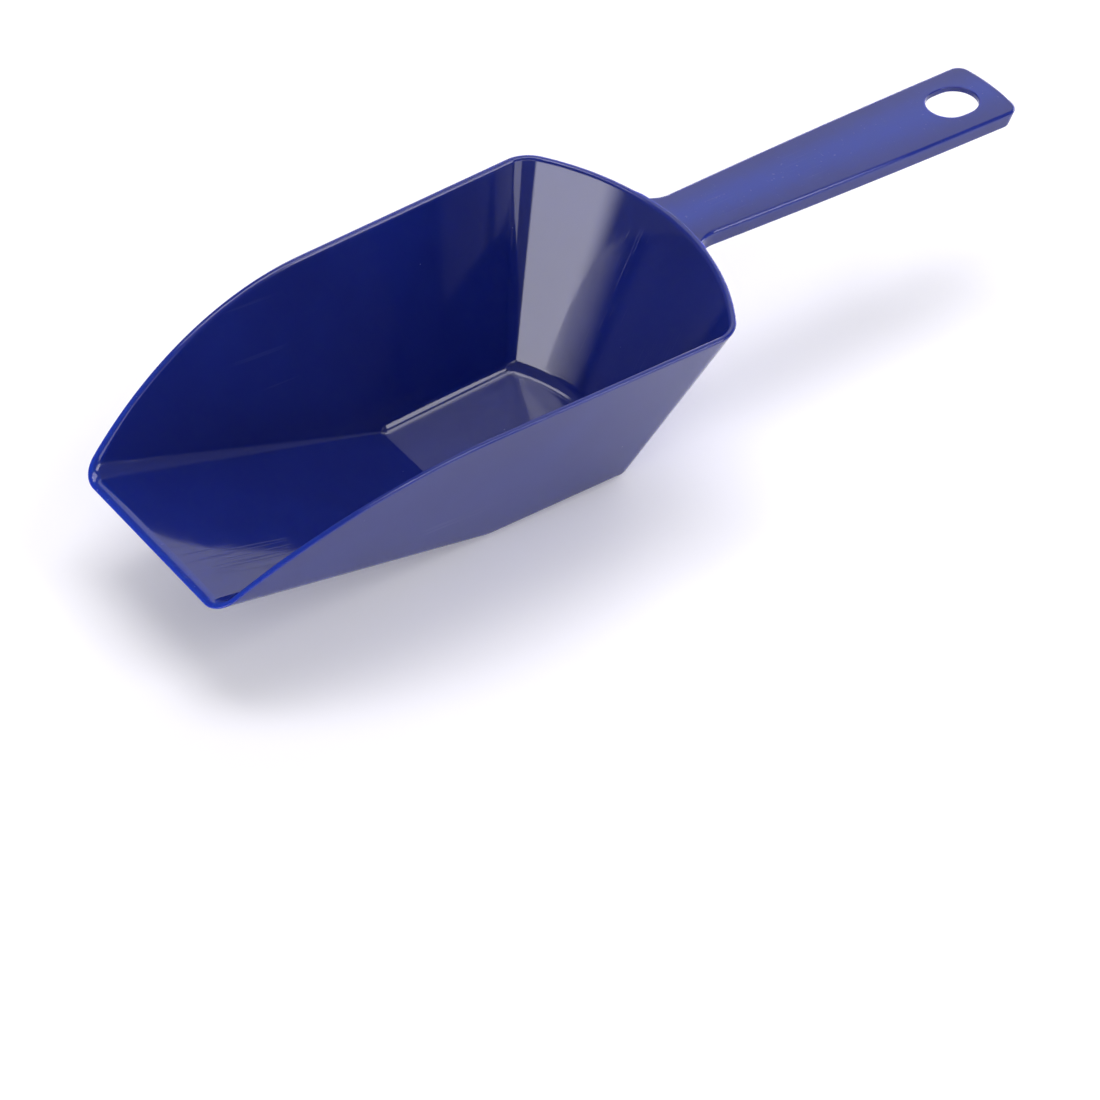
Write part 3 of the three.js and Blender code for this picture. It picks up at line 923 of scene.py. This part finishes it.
def plastic():
    """Glossy moulded plastic, slightly see-through, with flow marks, scratches, dust and nicks,
    and a painted glow at its edges and along the handle's middle.
    """
    material = bpy.data.materials.new("blue plastic")
    material.use_nodes = True
    tree = material.node_tree
    shader = tree.nodes["Principled BSDF"]
    place = add_node(tree, "ShaderNodeTexCoord").outputs["Object"]
    # The painted glow at the edges and along the handle's middle; it also puts the nicks at the
    # edges.
    edge = add_node(tree, "ShaderNodeAttribute", attribute_name=PAINTED_GLOW_AND_NICK_LAYER).outputs["Fac"]

    # The marks.
    flow = noise(tree, place, FLOW_FINENESS, detail=3.0)
    cloud = noise(tree, place, HAZE_FINENESS, detail=3.0, roughness=0.6)
    long_lines = scratches(tree, place, LONG_SCRATCHES, LONG_RANGE)
    cross_lines = scratches(tree, place, CROSS_SCRATCHES, CROSS_RANGE)
    lines = maths(tree, "MAXIMUM", long_lines, cross_lines)
    dust = specks(tree, place)
    chips = remap(tree, noise(tree, place, CHIP_FINENESS), *CHIP_RANGE, 0.0, 1.0)
    nicks = maths(tree, "MULTIPLY", chips, edge)

    # The colour: blue, brighter where the plastic flowed, with a painted glow at its edges and
    # along the handle's middle for light passing through the thin plastic, paler at the marks.
    bright = remap(tree, flow, *FLOW_RANGE, 0.0, FLOW_SHOWS)
    colour = mix_colour(tree, bright, BODY_BLUE, BRIGHT_BLUE)
    colour = mix_colour(tree, maths(tree, "MULTIPLY", edge, PAINTED_GLOW_SHOWS), colour, PAINTED_GLOW_BLUE)
    pale = maths(tree, "MULTIPLY", lines, SCRATCH_SHOWS)
    for mark, shows in ((nicks, NICK_SHOWS), (dust, DUST_SHOWS)):
        pale = maths(tree, "MAXIMUM", pale, maths(tree, "MULTIPLY", mark, shows))
    colour = mix_colour(tree, pale, colour, WORN_BLUE)
    tree.links.new(colour, shader.inputs["Base Color"])

    # The roughness.
    haziest = GLOSS_ROUGHNESS + HAZE_ROUGHNESS
    hazy = remap(tree, cloud, *HAZE_RANGE, GLOSS_ROUGHNESS, haziest)
    worn = maths(tree, "MAXIMUM", lines, nicks)
    rougher = maths(tree, "MULTIPLY", worn, SCRATCH_ROUGHNESS - GLOSS_ROUGHNESS)
    tree.links.new(maths(tree, "ADD", hazy, rougher), shader.inputs["Roughness"])

    # The bumps: the mould's slow waves, a fine grain, and the dust and scratches.
    normal = bump(tree, noise(tree, place, WAVE_FINENESS), WAVE_HEIGHT)
    normal = bump(tree, noise(tree, place, GRAIN_FINENESS), GRAIN_HEIGHT, normal)
    sunk = maths(tree, "MULTIPLY", lines, -SCRATCH_DEPTH)
    normal = bump(tree, maths(tree, "ADD", dust, sunk), MARK_HEIGHT, normal)
    tree.links.new(normal, shader.inputs["Normal"])

    shader.inputs["IOR"].default_value = PLASTIC_IOR
    shader.inputs["Subsurface Weight"].default_value = 1.0
    shader.inputs["Subsurface Radius"].default_value = LIGHT_DEPTH_SHARES
    shader.inputs["Subsurface Scale"].default_value = LIGHT_DEPTH
    return material


blue = plastic()
bowl = put_mesh("scoop_bowl", bowl_mesh(), Matrix.Identity(4), blue)
handle = put_mesh("scoop_handle", handle_mesh(), HANDLE_PLACE, blue)
for piece, node in ((bowl, "bowl"), (handle, "handle")):
    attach(piece, "root")
    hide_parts(node)


# ------------------------------------------------------------------------------------- the stage


WHITE = (1, 1, 1, 1)
FLOOR_GREY = (0.92, 0.92, 0.92, 1)
FLOOR_GLOW = 0.07
FLOOR_ROUGHNESS = 0.9
FLOOR_REACH = 6.0
FLOOR_DROP = 0.0002
WORLD_GLOW = 0.28
CENTRE = (cad_low + cad_high) / 2
LIGHT_DISTANCE = 4.0
LIGHT_COLOUR = (0.985, 0.965, 1.04)

# The lights: azimuth, elevation, half width and half height in degrees, radiance, fade, and roll
# in degrees.
LIGHTS = {
    "top light": (-40, 71, 18.5, 14, 3.9, 0.08, 0),
    "side top light": (-98, 64, 8, 9, 4.8, 0.3, 0),
    "back light": (-20, 10, 42, 10.5, 7.0, 0.15, 0),
    "front light": (176, 14, 23, 10.5, 6.2, 0.5, 0),
    "right light": (89, 12, 16, 17, 2.6, 0.3, 0),
    "high right light": (126, 31, 28, 8, 2.2, 0.3, 0),
    "left card": (-54, 30, 22, 14, 1.0, 0.3, 0),
    "strip light": (50, 42, 19, 5.5, 5.5, 0.1, 60),
}

# The camera stands at the photograph's angle and aims a little left of the scoop and below it.
AZIMUTH = math.radians(54.203)
ELEVATION = math.radians(42.540)
CAMERA_DISTANCE = 1.288
AIM_LEFT = 0.0120
AIM_BELOW = 0.0660
LENS = 136.83
SENSOR_WIDTH = 36
CAMERA_REACH = 50


def floor_material():
    material = bpy.data.materials.new("pale floor")
    material.use_nodes = True
    shader = material.node_tree.nodes["Principled BSDF"]
    shader.inputs["Base Color"].default_value = FLOOR_GREY
    shader.inputs["Emission Color"].default_value = WHITE
    shader.inputs["Emission Strength"].default_value = FLOOR_GLOW
    shader.inputs["Roughness"].default_value = FLOOR_ROUGHNESS
    return material


def floor():
    mesh = bpy.data.meshes.new("floor")
    signs = ((-1, -1), (1, -1), (1, 1), (-1, 1))
    corners = [(x * FLOOR_REACH, y * FLOOR_REACH, 0) for x, y in signs]
    mesh.from_pydata(corners, [], [(0, 1, 2, 3)])
    mesh.materials.append(floor_material())
    plane = bpy.data.objects.new("floor", mesh)
    bpy.context.scene.collection.objects.link(plane)
    plane.location.z = -FLOOR_DROP


def soften(light, fade):
    """Makes a light fade out towards its edges, over a share of its half width and height."""
    light.use_nodes = True
    tree = light.node_tree
    place = add_node(tree, "ShaderNodeNewGeometry").outputs["Parametric"]
    split = add_node(tree, "ShaderNodeSeparateXYZ", {0: place})
    strength = 1.0
    for axis in split.outputs[:2]:
        from_middle = maths(tree, "ABSOLUTE", maths(tree, "SUBTRACT", axis, 0.5))
        inside = remap(tree, from_middle, 0.5, 0.5 - fade / 2, 0.0, 1.0)
        strength = maths(tree, "MULTIPLY", inside, strength)
    tree.links.new(strength, tree.nodes["Emission"].inputs["Strength"])


def softbox(name, azimuth, elevation, half_width, half_height, radiance, fade, roll):
    """A rectangular light far off that faces the scoop. Its place, its size and how far it is
    rolled about its own axis are angles, in degrees, as the scoop sees them: azimuth 0 is along
    +Y and 90 along +X. Fade is the share of its half size that is soft."""
    width = 2 * LIGHT_DISTANCE * math.tan(math.radians(half_width))
    height = 2 * LIGHT_DISTANCE * math.tan(math.radians(half_height))
    light = bpy.data.lights.new(name, "AREA")
    light.shape = "RECTANGLE"
    light.size = width
    light.size_y = height
    light.energy = radiance * math.pi * width * height
    light.color = LIGHT_COLOUR
    soften(light, fade)
    lamp = bpy.data.objects.new(name, light)
    bpy.context.scene.collection.objects.link(lamp)
    turn, rise = math.radians(azimuth), math.radians(elevation)
    level = math.cos(rise)
    toward = Vector((math.sin(turn) * level, math.cos(turn) * level, math.sin(rise)))
    lamp.location = CENTRE + toward * LIGHT_DISTANCE
    lamp.rotation_mode = "QUATERNION"
    face = toward.to_track_quat("Z", "Y")
    lamp.rotation_quaternion = face @ Quaternion((0, 0, 1), math.radians(roll))
    lamp.visible_camera = False


def studio():
    world = bpy.data.worlds.new("studio")
    world.use_nodes = True
    background = world.node_tree.nodes["Background"]
    background.inputs["Color"].default_value = WHITE
    background.inputs["Strength"].default_value = WORLD_GLOW
    bpy.context.scene.world = world


def camera():
    data = bpy.data.cameras.new("camera")
    data.sensor_width = SENSOR_WIDTH
    data.lens = LENS
    cam = bpy.data.objects.new("camera", data)
    bpy.context.scene.collection.objects.link(cam)
    flat = math.cos(ELEVATION)
    back = Vector((math.sin(AZIMUTH) * flat, -math.cos(AZIMUTH) * flat, math.sin(ELEVATION)))
    right = Vector((math.cos(AZIMUTH), math.sin(AZIMUTH), 0))
    up = back.cross(right)
    cam.location = CENTRE - right * AIM_LEFT - up * AIM_BELOW + back * CAMERA_DISTANCE
    cam.rotation_mode = "QUATERNION"
    cam.rotation_quaternion = Matrix((right, up, back)).transposed().to_quaternion()
    data.clip_end = CAMERA_REACH
    bpy.context.scene.camera = cam


floor()
for name, values in LIGHTS.items():
    softbox(name, *values)
studio()
camera()
bpy.context.scene.view_settings.view_transform = "Standard"

bpy.context.view_layer.update()
